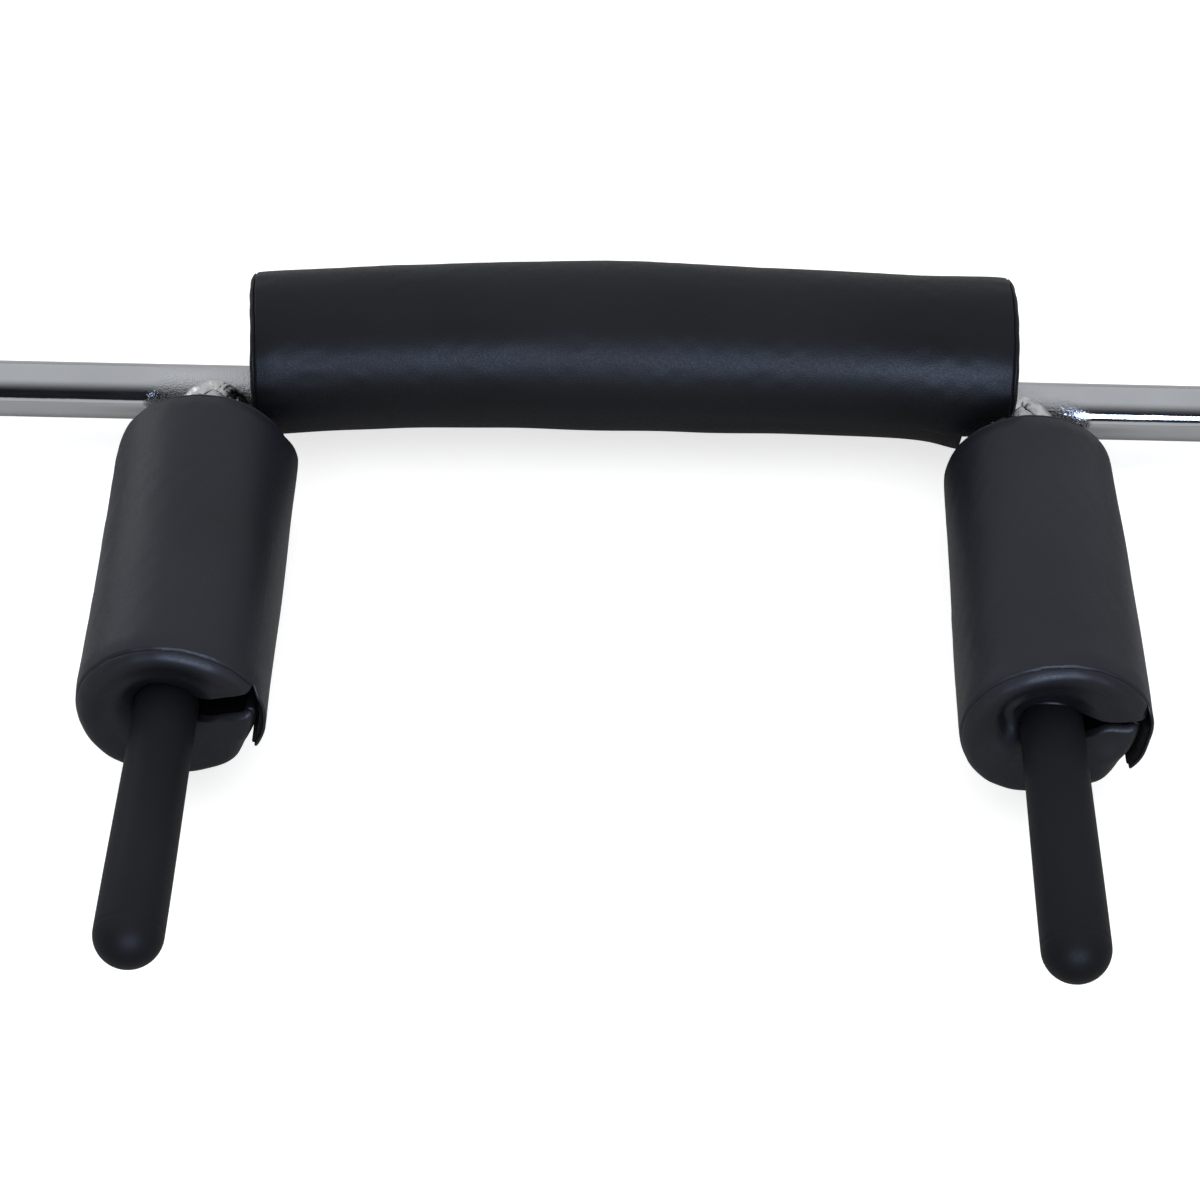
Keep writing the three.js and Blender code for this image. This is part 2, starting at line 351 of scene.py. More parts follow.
def near_welds(tree):
    """1 beside a weld, on the side of the shaft that the arms leave from."""
    parts = place_parts(tree)
    along = band(tree, calculated(tree, "ABSOLUTE", parts["X"]), *SPATTER_ALONG)
    return calculated(tree, "MULTIPLY", along, band(tree, parts["Y"], *SPATTER_ACROSS))


def with_painted_pad_reflection(tree, colour):
    """The colour, with a painted dark reflection and shade of the black pads beside the left arm's
    joint.
    """
    parts = place_parts(tree)
    along = band(tree, parts["X"], *PAINTED_PAD_REFLECTION_ALONG)
    across = band(tree, parts["Y"], *PAINTED_PAD_REFLECTION_ACROSS)
    cloud = noise_map(tree, object_place(tree), 210.0, 4.0, 0.65)
    patches = ramp(tree, cloud, 0.0, 1.0, 0.40, 0.56)
    mix = node(tree, "Mix", data_type="RGBA")
    share = calculated(tree, "MULTIPLY", calculated(tree, "MULTIPLY", along, across), patches)
    tree.links.new(share, mix.inputs["Factor"])
    first, second, result = mix.inputs[6], mix.inputs[7], mix.outputs[2]  # those for colours
    tree.links.new(colour, first)
    second.default_value = (*PAINTED_PAD_REFLECTION, 1)
    return result


def chrome(name, stretch):
    """Polished along the ways that aren't stretched, marked by spatter near the welds, and painted
    dark beside the left weld as a reflection and shade of the black pads.
    """
    rough = 0.07
    made, tree, shader = material(name, (0.55, 0.555, 0.56), rough, 1.0)
    patches = noise_map(tree, object_place(tree), 22.0, 4.0)
    polish = noise_map(tree, object_place(tree, stretch), 30.0, 5.0, 0.65)
    colour = ramp(tree, patches, (0.53, 0.535, 0.545), (0.575, 0.58, 0.59))
    # The base colour carries the painted dark reflection and shade of the pads beside the left
    # weld.
    tree.links.new(with_painted_pad_reflection(tree, colour), shader.inputs["Base Color"])
    tree.links.new(ramp(tree, polish, rough * 0.7, rough * 1.5), shader.inputs["Roughness"])
    pits = noise_map(tree, object_place(tree), 900.0, 2.0)
    peel = noise_map(tree, object_place(tree), 260.0, 2.0)
    ruffle = noise_map(tree, object_place(tree), 650.0, 3.0, 0.6)
    specks = noise_map(tree, object_place(tree), 1000.0, 3.0, 0.6)
    specks = ramp(tree, specks, 0.0, 1.0, 0.42, 0.62)
    marks = calculated(tree, "MULTIPLY", near_welds(tree), specks)
    heights = [
        (polish, 0.00002, 0.35),
        (peel, 0.00006, 0.35),
        (ruffle, 0.00003, 0.35),
        (pits, 0.00001, 0.3),
        (marks, 0.00018, 0.6),
    ]
    bump(tree, shader, heights)
    return made


def weld_chrome():
    """Chrome over a rough bead."""
    made, tree, shader = material("weld_chrome", (0.62, 0.62, 0.63), 0.2, 1.0)
    place = object_place(tree)
    spots = noise_map(tree, place, 260.0, 4.0, 0.6)
    tree.links.new(ramp(tree, spots, 0.22, 0.42), shader.inputs["Roughness"])
    colour = ramp(tree, spots, (0.74, 0.74, 0.73), (0.55, 0.54, 0.53))
    # The base colour carries the painted dark reflection and shade of the pads beside the left
    # weld.
    tree.links.new(with_painted_pad_reflection(tree, colour), shader.inputs["Base Color"])
    bump(tree, shader, [(spots, 0.00015, 0.4)])
    return made


def leatherette(name, base, shine=0.32, slack=0.12):
    """Soft black coated fabric: fine pebbled grain over slow creases, duller where it rubs."""
    made, tree, shader = material(name, base, 0.42, shine=shine)
    place = object_place(tree)
    grain = node(tree, "TexVoronoi", feature="SMOOTH_F1", Scale=1300.0, Smoothness=0.6)
    tree.links.new(place, grain.inputs["Vector"])
    pebble = ramp(tree, grain.outputs["Distance"], 0.0, 1.0, 0.1, 0.75)
    creases = noise_map(tree, place, 55.0, 4.0, 0.55)
    worn = noise_map(tree, place, 9.0, 3.0)
    fine = noise_map(tree, place, 700.0, 3.0, 0.6)
    dark = tuple(0.8 * c for c in base)
    light = tuple(1.35 * c for c in base)
    tree.links.new(ramp(tree, worn, dark, light), shader.inputs["Base Color"])
    dull = node(tree, "MixRGB", blend_type="ADD", Fac=1.0)
    tree.links.new(ramp(tree, worn, 0.36, 0.44), dull.inputs["Color1"])
    tree.links.new(ramp(tree, fine, 0.0, 0.1), dull.inputs["Color2"])
    tree.links.new(dull.outputs["Color"], shader.inputs["Roughness"])
    bump(tree, shader, [(creases, 0.0012, slack), (pebble, 0.00012, 0.30), (fine, 0.00006, 0.25)])
    return made


def grip_rubber():
    """Matt black rubber with a faint bloom."""
    made, tree, shader = material("grip_rubber", (0.006, 0.0064, 0.0075), 0.5, shine=0.10)
    place = object_place(tree)
    speckle = noise_map(tree, place, 1500.0, 3.0, 0.7)
    coarse = noise_map(tree, place, 420.0, 2.0)
    bloom = noise_map(tree, place, 14.0, 3.0)
    colour = ramp(tree, bloom, (0.0068, 0.0070, 0.0088), (0.0098, 0.0102, 0.0128))
    tree.links.new(colour, shader.inputs["Base Color"])
    tree.links.new(ramp(tree, speckle, 0.40, 0.62), shader.inputs["Roughness"])
    bump(tree, shader, [(coarse, 0.0003, 0.10), (speckle, 0.00015, 0.35)])
    return made


def tape_material(name, base, scale):
    """Hook-and-loop tape: a nap of short fibres on a woven base."""
    made, tree, shader = material(name, base, 0.95, shine=0.05)
    shader.inputs["Sheen Weight"].default_value = 0.06
    place = object_place(tree)
    nap = noise_map(tree, place, scale, 5.0, 0.8)
    lighter = tuple(3.0 * c for c in base)
    tree.links.new(ramp(tree, nap, base, lighter), shader.inputs["Base Color"])
    bump(tree, shader, [(nap, 0.0008, 0.9)])
    return made


def simple(name, base, roughness, metallic, scale, depth, shine=0.5):
    """A plain material with mottled colour and roughness and a fine surface."""
    made, tree, shader = material(name, base, roughness, metallic, shine)
    place = object_place(tree)
    mottle = noise_map(tree, place, scale, 4.0)
    low = tuple(0.75 * c for c in base)
    high = tuple(1.25 * c for c in base)
    tree.links.new(ramp(tree, mottle, low, high), shader.inputs["Base Color"])
    tree.links.new(ramp(tree, mottle, roughness * 0.8, roughness * 1.2), shader.inputs["Roughness"])
    bump(tree, shader, [(noise_map(tree, place, scale * 6, 3.0), depth, 0.4)])
    return made


CHROME = chrome("chrome", (1.5, 30, 30))
CHROME_ARM = chrome("chrome_arm", (30, 1.5, 30))
WELD = weld_chrome()
LEATHER = leatherette("leatherette", (0.0088, 0.0090, 0.0132))
NECK_LEATHER = leatherette("neck_leatherette", (0.0060, 0.0063, 0.0082), 0.18, 0.06)
GRIP = grip_rubber()
HOOK = tape_material("hook_tape", (0.0020, 0.0020, 0.0023), 1800.0)
LOOP = tape_material("loop_tape", (0.0026, 0.0026, 0.0030), 900.0)
# Bare foam in the slits, coloured near-black: painted shade of the slit.
SLIT_SHADE_FOAM = simple("foam", (0.0016, 0.0016, 0.0018), 0.95, 0.0, 300.0, 0.0008, 0.03)
BRONZE = simple("bronze", (0.50, 0.33, 0.15), 0.35, 1.0, 120.0, 0.00005)
SPRING_STEEL = simple("spring_steel", (0.12, 0.12, 0.125), 0.4, 1.0, 200.0, 0.00005)
CAP = simple("cap_plastic", (0.02, 0.02, 0.021), 0.5, 0.0, 400.0, 0.0001)


# ---------------- steel
STOP_FACE = 655.0
WASHER_THICK = 2.0
GAP = 0.3
SLEEVE_END = 1088.0
SLEEVE_R = 24.75
SLEEVE_BORE_R = 19.0
JOURNAL_R = 14.0
GROOVE_AT = 1052.0
GROOVE_WIDE = 2.4
GROOVE_R = 12.8
JOURNAL_END = 1068.0
WASHER_BORE_R = 14.4
WELD_LEG = 6.4  # up the arm from the joint
WELD_FOOT = 5.6  # along the shaft
WELD_SUNK = 0.15  # the bead's edges lie this far inside the steel
RIPPLE = 2.3  # pitch of the weld's ripples
GRIP_UNDER_PAD = 7.0  # how far the grip reaches into the pad
GRIP_LONGER = {"left": 0.8, "right": -1.6}


def rounded_profile(corners):
    """A turned profile from (radius, z, edge) corners, each edge broken to that size."""
    out = []
    for i, (r, z, edge) in enumerate(corners):
        here = np.array([r, z])
        if edge <= 0 or i in (0, len(corners) - 1):
            out.append((r, z))
            continue
        before, after = (np.array(corners[j][:2]) - here for j in (i - 1, i + 1))
        before, after = (edge * v / np.linalg.norm(v) for v in (before, after))
        for t in np.linspace(0, 1, 5):
            out.append(tuple(here + (1 - t) ** 2 * before + t * t * after))
    return out


def shaft():
    """The shaft, stepped down to a grooved journal at each end."""
    half = [
        (SHAFT_R, STOP_FACE - GAP, 0.4),
        (JOURNAL_R, STOP_FACE - GAP, 0),
        (JOURNAL_R, GROOVE_AT, 0.1),
        (GROOVE_R, GROOVE_AT, 0),
        (GROOVE_R, GROOVE_AT + GROOVE_WIDE, 0),
        (JOURNAL_R, GROOVE_AT + GROOVE_WIDE, 0.1),
        (JOURNAL_R, JOURNAL_END - 1.5, 0.2),
        (JOURNAL_R - 1.5, JOURNAL_END, 0.2),
        (0, JOURNAL_END, 0),
    ]
    corners = [(r, -z, edge) for r, z, edge in reversed(half)] + half
    made = turned("steel_shaft", rounded_profile(corners), SHAFT_FRAME, 144)
    return finish_piece(made, CHROME, "yoke", "chrome", ["main_shaft"])


def arm(side):
    """The arm's tube, ending in a saddle that fits round the shaft."""
    facets = 128
    angles = np.linspace(0, 2 * math.pi, facets, endpoint=False)
    rows = []

    def row(r, z=None):
        saddle = np.sqrt(np.maximum((SHAFT_R + GAP) ** 2 - (r * np.sin(angles)) ** 2, 0))
        along = saddle if z is None else np.full(facets, z)
        rows.append(np.stack([r * np.cos(angles), r * np.sin(angles), along], 1))

    row(ARM_R)
    for z in (30.0, 120.0, ARM_END - 2):
        row(ARM_R, z)
    inner_rim = [(ARM_BORE_R + 0.4, ARM_END), (ARM_BORE_R, ARM_END - 0.5)]
    for r, z in fillet(ARM_R, ARM_END - 1, ARM_R - 0.8, ARM_END) + inner_rim:
        row(r, z)
    row(ARM_BORE_R, 40.0)
    row(ARM_BORE_R)
    faces = ring_faces(len(rows), facets)
    made = out_facing(new_object(f"steel_arm_{side}", np.vstack(rows), faces, arm_frame(side)))
    return finish_piece(made, CHROME_ARM, "yoke", "chrome", [f"arm_tube_{side}"])


def weld(side):
    """A rippled bead round the joint of an arm and the shaft."""
    steps, across = 420, 18
    turn = np.linspace(0, 2 * math.pi, steps, endpoint=False)
    y = ARM_R * np.sin(turn)
    joint = np.stack([ARM_R * np.cos(turn), y, np.sqrt(SHAFT_R**2 - y**2)], 1)
    on_tube = np.stack([np.cos(turn), np.sin(turn), 0 * turn], 1)
    on_shaft = np.stack([0 * turn, joint[:, 1], joint[:, 2]], 1) / SHAFT_R
    along = np.cross(on_shaft, on_tube)
    along /= np.linalg.norm(along, axis=1, keepdims=True)
    up = np.cross(on_tube, along)
    up *= np.sign(up[:, 2:3])
    out = np.cross(along, on_shaft)
    out *= np.sign(np.einsum("ij,ij->i", out, on_tube))[:, None]
    proud = on_shaft + on_tube
    proud /= np.linalg.norm(proud, axis=1, keepdims=True)
    run = np.concatenate([[0], np.cumsum(np.linalg.norm(np.diff(joint, axis=0), axis=1))])
    seed = 3.0 if side == "left" else 8.0
    vary = fbm(joint, 0.12, seed, 3)
    beside = np.abs(np.sin(turn)) ** 3  # 1 where the tube leaves the shaft at its sides
    rings = []
    for s in np.linspace(0, 1, across):  # from the bead's edge on the tube to its edge on the shaft
        arch = math.sin(math.pi * s)
        trail = 1.1 * 4 * (s - 0.5) ** 2  # how far a ripple lags at the bead's edges
        wave = (run + trail * 1.3) / RIPPLE + 0.25 * vary
        ripple = 0.10 * np.abs(np.sin(math.pi * wave)) * arch**0.6
        crown = (1.8 - 1.0 * beside + 0.6 * vary) * arch**0.8 + ripple
        reach_up = (WELD_LEG + 0.8 * vary) * (1 - s)
        reach_out = (WELD_FOOT + 0.6 * np.roll(vary, 40)) * (s * (1 - 0.75 * beside))
        ring = joint + up * reach_up[:, None] + out * reach_out[:, None]
        pits = np.minimum(fbm(ring, 0.7, seed + 5, 2) + 0.25, 0)
        lumps = (0.35 * fbm(ring, 0.25, seed + 2, 2) + 0.30 * pits) * arch**0.5
        rings.append(ring + proud * (crown + lumps - WELD_SUNK)[:, None])
    rings.append(joint - proud * 0.5)
    faces = ring_faces(len(rings), steps)
    made = out_facing(new_object(f"weld_{side}", np.vstack(rings), faces, arm_frame(side)))
    return finish_piece(made, WELD, "yoke", "weld", [f"weld_bead_{side}"])


def grip(side):
    """A moulded grip that swells to a dome, with a faint parting ring where the dome begins."""
    start, bore = PAD_END - GRIP_UNDER_PAD, ARM_R + GAP
    tip = GRIP_TIP + GRIP_LONGER[side]
    dome_at = tip - GRIP_DOME_R
    body = np.linspace(start + 1.2, dome_at - 0.4, 46)
    share = smooth_step((body - GRIP_START) / (dome_at - GRIP_START))
    turn = np.linspace(0, math.pi / 2, 28)
    profile = [
        (0, ARM_END + GAP),
        (bore - 0.4, ARM_END + GAP),
        (bore, ARM_END - 0.2),
        (bore, start + 0.4),
        *fillet(bore + 0.4, start, GRIP_R, start + 1.0),
        *((GRIP_R + (GRIP_DOME_R - GRIP_R) * s, z) for s, z in zip(share, body)),
        (GRIP_DOME_R - 0.12, dome_at),
        *((GRIP_DOME_R * math.cos(a), dome_at + GRIP_DOME_R * math.sin(a)) for a in turn[1:-1]),
        (0, tip),
    ]
    made = turned(f"grip_{side}", profile, arm_frame(side), 128)
    return finish_piece(made, GRIP, "yoke", "grip_rubber", [f"hand_grip_{side}"])


def sleeve_set(side):
    """The turning sleeve on one end of the shaft."""
    place, body = END_FRAMES[side], f"{side}_sleeve"
    start = STOP_FACE + WASHER_THICK + GAP
    stop = [
        (SLEEVE_R + 0.1, start, 0),
        (37.5, start, 0.8),
        (39, start + 1.6, 1.2),
        (39, start + 10, 1.5),
        (32, start + 12.5, 1.5),
        (32, start + 22, 0.8),
        (38, start + 22, 0.8),
        (38, start + 30, 1.5),
        (SLEEVE_R + 0.1, start + 30, 0),
    ]
    sleeve = [
        (SLEEVE_BORE_R, start, 0),
        (SLEEVE_R, start, 0.4),
        (SLEEVE_R, SLEEVE_END, 1.4),
        (SLEEVE_BORE_R, SLEEVE_END, 0.4),
        (SLEEVE_BORE_R, SLEEVE_END - 2, 0),
    ]
    cap = [
        (0, SLEEVE_END - 10, 0),
        (SLEEVE_BORE_R - GAP, SLEEVE_END - 10, 0.8),
        (SLEEVE_BORE_R - GAP, SLEEVE_END + GAP, 0),
        (SLEEVE_R - 1, SLEEVE_END + GAP, 0.3),
        (SLEEVE_R - 1, SLEEVE_END + 4, 1.6),
        (15.5, SLEEVE_END + 4, 0.4),
        (14.8, SLEEVE_END + 3.2, 0.3),
        (0, SLEEVE_END + 3.2, 0),
    ]
    washer = [
        (WASHER_BORE_R, STOP_FACE, 0),
        (23, STOP_FACE, 0.3),
        (23, STOP_FACE + WASHER_THICK, 0.3),
        (WASHER_BORE_R, STOP_FACE + WASHER_THICK, 0),
    ]
    for name, corners, look, slot_name, rides, stands_for, facets, closed in (
        ("plate_collar", stop, CHROME, "chrome", body, "plate_stop", 192, True),
        ("sleeve_tube", sleeve, CHROME, "chrome", body, "plate_sleeve", 144, True),
        ("end_cap", cap, CAP, "cap_plastic", body, "sleeve_end_cap", 96, False),
        ("face_washer", washer, BRONZE, "bronze", "yoke", "thrust_washer", 96, True),
    ):
        made = turned(f"{name}_{side}", rounded_profile(corners), place, facets, closed)
        finish_piece(made, look, rides, slot_name, [f"{stands_for}_{side}"])
    plain = {"inner_bushing": BRONZE, "outer_bushing": BRONZE, "retaining_ring": SPRING_STEEL}
    for part, look in plain.items():
        coat(bpy.data.objects[f"{part}_{side}"], look)


# ---------------- split round pads
# A pad is a block bent round the steel. The block's three ways are round the steel, from the
# lip that the flap hangs from to the other lip; out, from the hole to the cover; and along.
FLOOR_GAP = 0.0002  # in metres
SEAM_AT = 17.0  # degrees round the rim, from the cover towards the end panel
SEAM_DEPTH = 1.3
SEAM_WIDTH = 8.0
FLAP_ROOT = 27.0  # where the flap leaves the cover, in degrees from the middle of the slit
FLAP_FROM = 34.0  # where its sheet starts, under the cover
FINE = 0.55  # spacing of a pad's points at its rims
STUFF_FRAMES = 20
STUFF_CAP = 1.2  # stuffing moves no point further than this
HELD_AT_LIP = 26.0  # the cover is sewn fast this near to the slit


class Pad:
    """The shape of one pad in millimetres about the steel's axis, its slit towards +X."""

    rim = 4.6  # radius of its sewn rims
    hole_r = 14.3
    centre = staticmethod(lambda z: np.full_like(z, PAD_OFFSET))
    radius = staticmethod(lambda z: np.full_like(z, PAD_R))
    hole_lips = (24.0, 43.0)  # the two lips at the hole, in degrees from the middle of the slit
    lips = (19.0, -2.0)  # and at the cover
    closing = (0.0, 0.0)  # how far each lip bulges into the slit
    lap = 30.0  # the cover is stepped in from the lip to here, under the flap
    lap_fade = 14.0  # and comes out again over this
    step = 3.4
    tuck = 2.0  # of the lip under the flap's root
    draw = 2.0  # of the cover towards its end seams
    bulge = 2.4  # of the end panels
    dimple = 4.5
    dents = ()  # in the end panels: angle, share of the way out, depth, width in degrees, width
    fold = 0.0  # depth of the fold that runs out from the steel, across the slit's far side
    seed = 1.0
    stand = staticmethod(lambda z: np.full_like(z, 1.6))  # of the flap, off the cover
    droop = staticmethod(lambda z, angle: np.zeros_like(z))
    sag = staticmethod(lambda angle: np.zeros_like(angle))  # of the front end panel, outwards
    lip_roll = 0.0  # height of a rolled edge round the hole, over the steel
    flap_thick = 1.6
    dodge = staticmethod(lambda points: points)

    def __init__(self, start, end, **settings):
        self.start, self.end, self.length = start, end, end - start
        for key, value in settings.items():
            setattr(self, key, value)
        middle = np.array([(start + end) / 2])
        self.thick = float(self.radius(middle)[0]) - self.hole_r
        self.girth = math.radians(360 - sum(self.lips)) * float(self.radius(middle)[0])
        self.size = np.array([self.girth, self.thick, self.length])

    def stations(self, coarse):
        edge = self.rim + 1.4
        return (
            graded(self.girth, FINE * 1.2, coarse, edge),
            graded(self.thick, FINE, coarse * 0.8, edge),
            graded(self.length, FINE, coarse * 1.15, edge),
        )

    def drawn_in(self, z, angle):
        """How far the cover comes in towards its end seams: mostly on top."""
        from_end = np.minimum(z - self.start, self.end - z)
        on_top = np.sin(np.radians(angle))
        return self.draw * (0.4 + 0.6 * on_top) * (1 - smooth_step(from_end / 12))

    def cover_radius(self, z, angle):
        """Radius of the cover: tucked in under the flap's root, and stepped in under its end."""
        after = 360 - angle
        tuck = smooth_step((FLAP_ROOT - 2 - angle) / 8) * self.tuck
        under = smooth_step((self.lap + self.lap_fade - after) / self.lap_fade) * self.step
        return self.radius(z) - self.drawn_in(z, angle) - np.where(angle < 180, tuck, under)

    def place(self, p, sewn=True):
        """Block places to millimetres."""
        inner = np.clip(p, self.rim, self.size - self.rim)
        away = p - inner
        reach = np.linalg.norm(away, axis=1)
        rim = np.degrees(np.arctan2(np.abs(away[:, 2]), np.maximum(away[:, 1], 0)))
        on_rim = (away[:, 1] > 1e-6) & (np.abs(away[:, 2]) > 1e-6)
        groove = np.where(on_rim, SEAM_DEPTH * bump_at(rim, SEAM_AT, SEAM_WIDTH), 0) * sewn
        scale = np.where(reach > 1e-6, (self.rim - groove) / np.maximum(reach, 1e-6), 0)
        q = inner + away * scale[:, None]
        around, out, z = q[:, 0] / self.girth, q[:, 1] / self.thick, q[:, 2] + self.start
        outer = self.lips[0] + (360 - sum(self.lips)) * around
        bore = np.radians(self.hole_lips[0] + (360 - sum(self.hole_lips)) * around)
        radius = self.cover_radius(z, outer)
        turn = np.radians(outer)
        hole = self.hole_r * np.stack([np.cos(bore), np.sin(bore)], 1)
        cover = np.stack([self.centre(z) + radius * np.cos(turn), radius * np.sin(turn)], 1)
        span = np.linalg.norm(cover - hole, axis=1)
        under = (1 - out) * self.thick + (span - self.thick) * smooth_step(1 - out)
        xy = cover + (hole - cover) * (under / span)[:, None]
        sag = bump_at(out, 0.5, 0.24)
        xy[:, 1] -= self.closing[0] * sag * bump_at(q[:, 0], 0, 18)
        xy[:, 1] += self.closing[1] * sag * bump_at(q[:, 0], self.girth, 18)
        along = q[:, 2] / self.length
        front, rear = smooth_step(2.5 * along - 1.5), smooth_step(1 - 2.5 * along)
        z = z + (front - rear) * self.end_panel(out, outer) + front * self.sag(outer)
        return np.stack([xy[:, 0], xy[:, 1], z], 1)

    def end_panel(self, out, angle):
        """How far an end panel stands out: plump inside its seam and drawn in round the steel."""
        turn = np.radians(angle)
        ripple = 1 + 0.16 * np.sin(2 * turn + self.seed) + 0.10 * np.sin(5 * turn + 2 * self.seed)
        beside = np.minimum(angle - self.lips[0], 360 - self.lips[1] - angle)
        full = 0.35 + 0.65 * smooth_step(beside / 40)
        plump = self.bulge * bump_at(out, 0.78, 0.20) * ripple * full
        drawn = self.dimple * smooth_step((0.42 - out) / 0.42) * (1 - 0.25 * np.cos(turn))
        roll = self.lip_roll * bump_at(out, 0.03, 0.035) * bump_at(angle, 80, 50)
        pulls = 0.12 * np.sin(19 * turn + 3 * self.seed) * bump_at(out, 0.93, 0.10)
        dents = sum(
            deep * bump_at((angle - at + 180) % 360 - 180, 0, wide) * bump_at(out, level, tall)
            for at, level, deep, wide, tall in self.dents
        )
        fold_out = 0.25 + 0.3 * (180 - angle) / 48  # the fold runs outwards as it goes round
        valley = bump_at(out, fold_out, 0.09) * bump_at(angle, 158, 26)
        return plump - drawn + roll + pulls - dents - self.fold * valley

    def crumple(self, points, out):
        """Slow unevenness of the stuffed cover, and small pulls beside its sewn rims."""
        z = points[:, 2]
        from_rim = np.minimum(z - self.start, self.end - z)
        away = points[:, :2] - np.stack([self.centre(z), 0 * z], 1)
        away /= np.maximum(np.linalg.norm(away, axis=1, keepdims=True), 1e-6)
        angle = np.arctan2(away[:, 1], away[:, 0])
        unit = np.stack([40 * away[:, 0], 40 * away[:, 1], z], 1)
        slow = fbm(unit, 0.014, self.seed * 7, 2) * 0.6
        pulls = np.sin(17 * angle + 2.5 * np.sin(3 * angle + self.seed)) * 0.12
        lift = slow * smooth_step(from_rim / 25) + pulls * bump_at(from_rim, 7, 6)
        lift *= smooth_step((out - 0.8) / 0.2)
        points[:, :2] += away * lift[:, None]
        return points

    def flap_radius(self, z, angle):
        """Radius of the flap's outside: flush with the cover at its root, then standing off."""
        before = np.maximum(angle - FLAP_ROOT, 0) / 7
        after = smooth_step((FLAP_ROOT - angle) / 19)
        flush = self.radius(z) - 0.6 * before**2 - self.drawn_in(z, angle) * (1 - after)
        return flush + self.stand(z) * after + self.droop(z, angle)

    def hook_radius(self, z, angle):
        """Radius of the hook tape's outside, inside the flap."""
        return self.flap_radius(z, angle) - self.flap_thick + 0.1

    def loop_radius(self, z, angle):
        """Radius of the loop tape's outside, on the cover."""
        return self.cover_radius(z, angle + 360) + 0.8


def spline_weights(stations, where):
    """A matrix that takes values at the stations to a smooth curve's values elsewhere."""
    n = len(stations)
    gap = np.diff(stations)[:, None]
    eye = np.eye(n)
    rises = np.diff(eye, axis=0) / gap
    inner = (rises[:-1] * gap[1:] + rises[1:] * gap[:-1]) / (gap[1:] + gap[:-1])
    slopes = np.vstack([rises[:1], inner, rises[-1:]])
    i = np.clip(np.searchsorted(stations, where) - 1, 0, n - 2)
    t = (where - stations[i])[:, None] / gap[i]
    rise, drop = t * t * (3 - 2 * t), t * (1 - t) * gap[i]
    lean = drop * ((1 - t) * slopes[i] - t * slopes[i + 1])
    return (1 - rise) * eye[i] + rise * eye[i + 1] + lean


def stuffing_moves(pad, frame_matrix):
    """How far each point of a coarse copy of the pad moves when it is stuffed, as cloth that is
    sewn fast at its rims, its hole and its slit. Gives the copy's grid too."""
    stations = (
        np.linspace(0, pad.girth, 44),
        np.linspace(0, pad.thick, 6),
        np.linspace(0, pad.length, max(24, round(pad.length / 7))),
    )
    p, faces, sides = box_grid(*stations)
    made = out_facing(new_object("stuffing", pad.place(p, sewn=False), faces, frame_matrix))
    before = np.empty(p.size)
    made.data.vertices.foreach_get("co", before)
    from_rim = np.minimum(p[:, 2], pad.length - p[:, 2])
    from_lip = np.minimum(p[:, 0], pad.girth - p[:, 0])
    held = (p[:, 1] < pad.thick - 0.1) | (from_rim < 1) | (from_lip < HELD_AT_LIP)
    group = made.vertex_groups.new(name="held")
    group.add([int(i) for i in np.flatnonzero(held)], 1.0, "REPLACE")
    cloth = made.modifiers.new("stuffing", "CLOTH")
    settings = cloth.settings
    settings.vertex_group_mass = "held"
    settings.quality = 4
    settings.mass = 0.15
    settings.tension_stiffness = settings.compression_stiffness = 30
    settings.bending_stiffness = 20
    settings.use_pressure = True
    settings.uniform_pressure_force = 4
    settings.effector_weights.gravity = 0
    cloth.point_cache.frame_start, cloth.point_cache.frame_end = 1, STUFF_FRAMES
    scene = bpy.context.scene
    for step in range(1, STUFF_FRAMES + 1):
        scene.frame_set(step)
    stuffed = made.evaluated_get(bpy.context.evaluated_depsgraph_get())
    after = np.empty(p.size)
    stuffed.data.vertices.foreach_get("co", after)
    moves = (after - before).reshape(-1, 3) / MM @ np.array(frame_matrix.to_3x3().normalized())
    far = np.linalg.norm(moves, axis=1, keepdims=True)
    moves *= np.tanh(far / STUFF_CAP) * STUFF_CAP / np.maximum(far, 1e-6)
    scene.frame_set(1)
    mesh = made.data
    bpy.data.objects.remove(made)
    bpy.data.meshes.remove(mesh)
    return stations, sides, moves


def pad_body(name, pad, frame_matrix, coarse=1.7):
    """The stuffed body of a pad, closed all round and flattened where it would sink into the floor.
    Says which of its faces are bare foam in the slit; these are coloured near-black as painted
    shade of the slit."""
    stations = pad.stations(coarse)
    p, faces, sides = box_grid(*stations)
    points = pad.crumple(pad.place(p), p[:, 1] / pad.thick)
    rough, rough_sides, moves = stuffing_moves(pad, frame_matrix)
    lift = np.zeros_like(points)
    for (a, b, low), (_, _, high) in zip(rough_sides, sides):
        across = spline_weights(rough[a], stations[a])
        down = spline_weights(rough[b], stations[b])
        lift[high] = np.einsum("ij,jkc,lk->ilc", across, moves[low], down)
    points += lift
    points = pad.dodge(points)
    made = out_facing(new_object(name, points, faces, frame_matrix, crease=80))
    for vertex in made.data.vertices:
        vertex.co.z = max(vertex.co.z, FLOOR_GAP)
    from_end = np.minimum(p[:, 2], pad.length - p[:, 2])
    bare = (p[:, 1] < pad.thick - pad.rim) & (from_end > pad.rim * 0.6)
    bare &= np.minimum(p[:, 0], pad.girth - p[:, 0]) < 1e-6
    return made, [all(bare[i] for i in face) for face in faces]


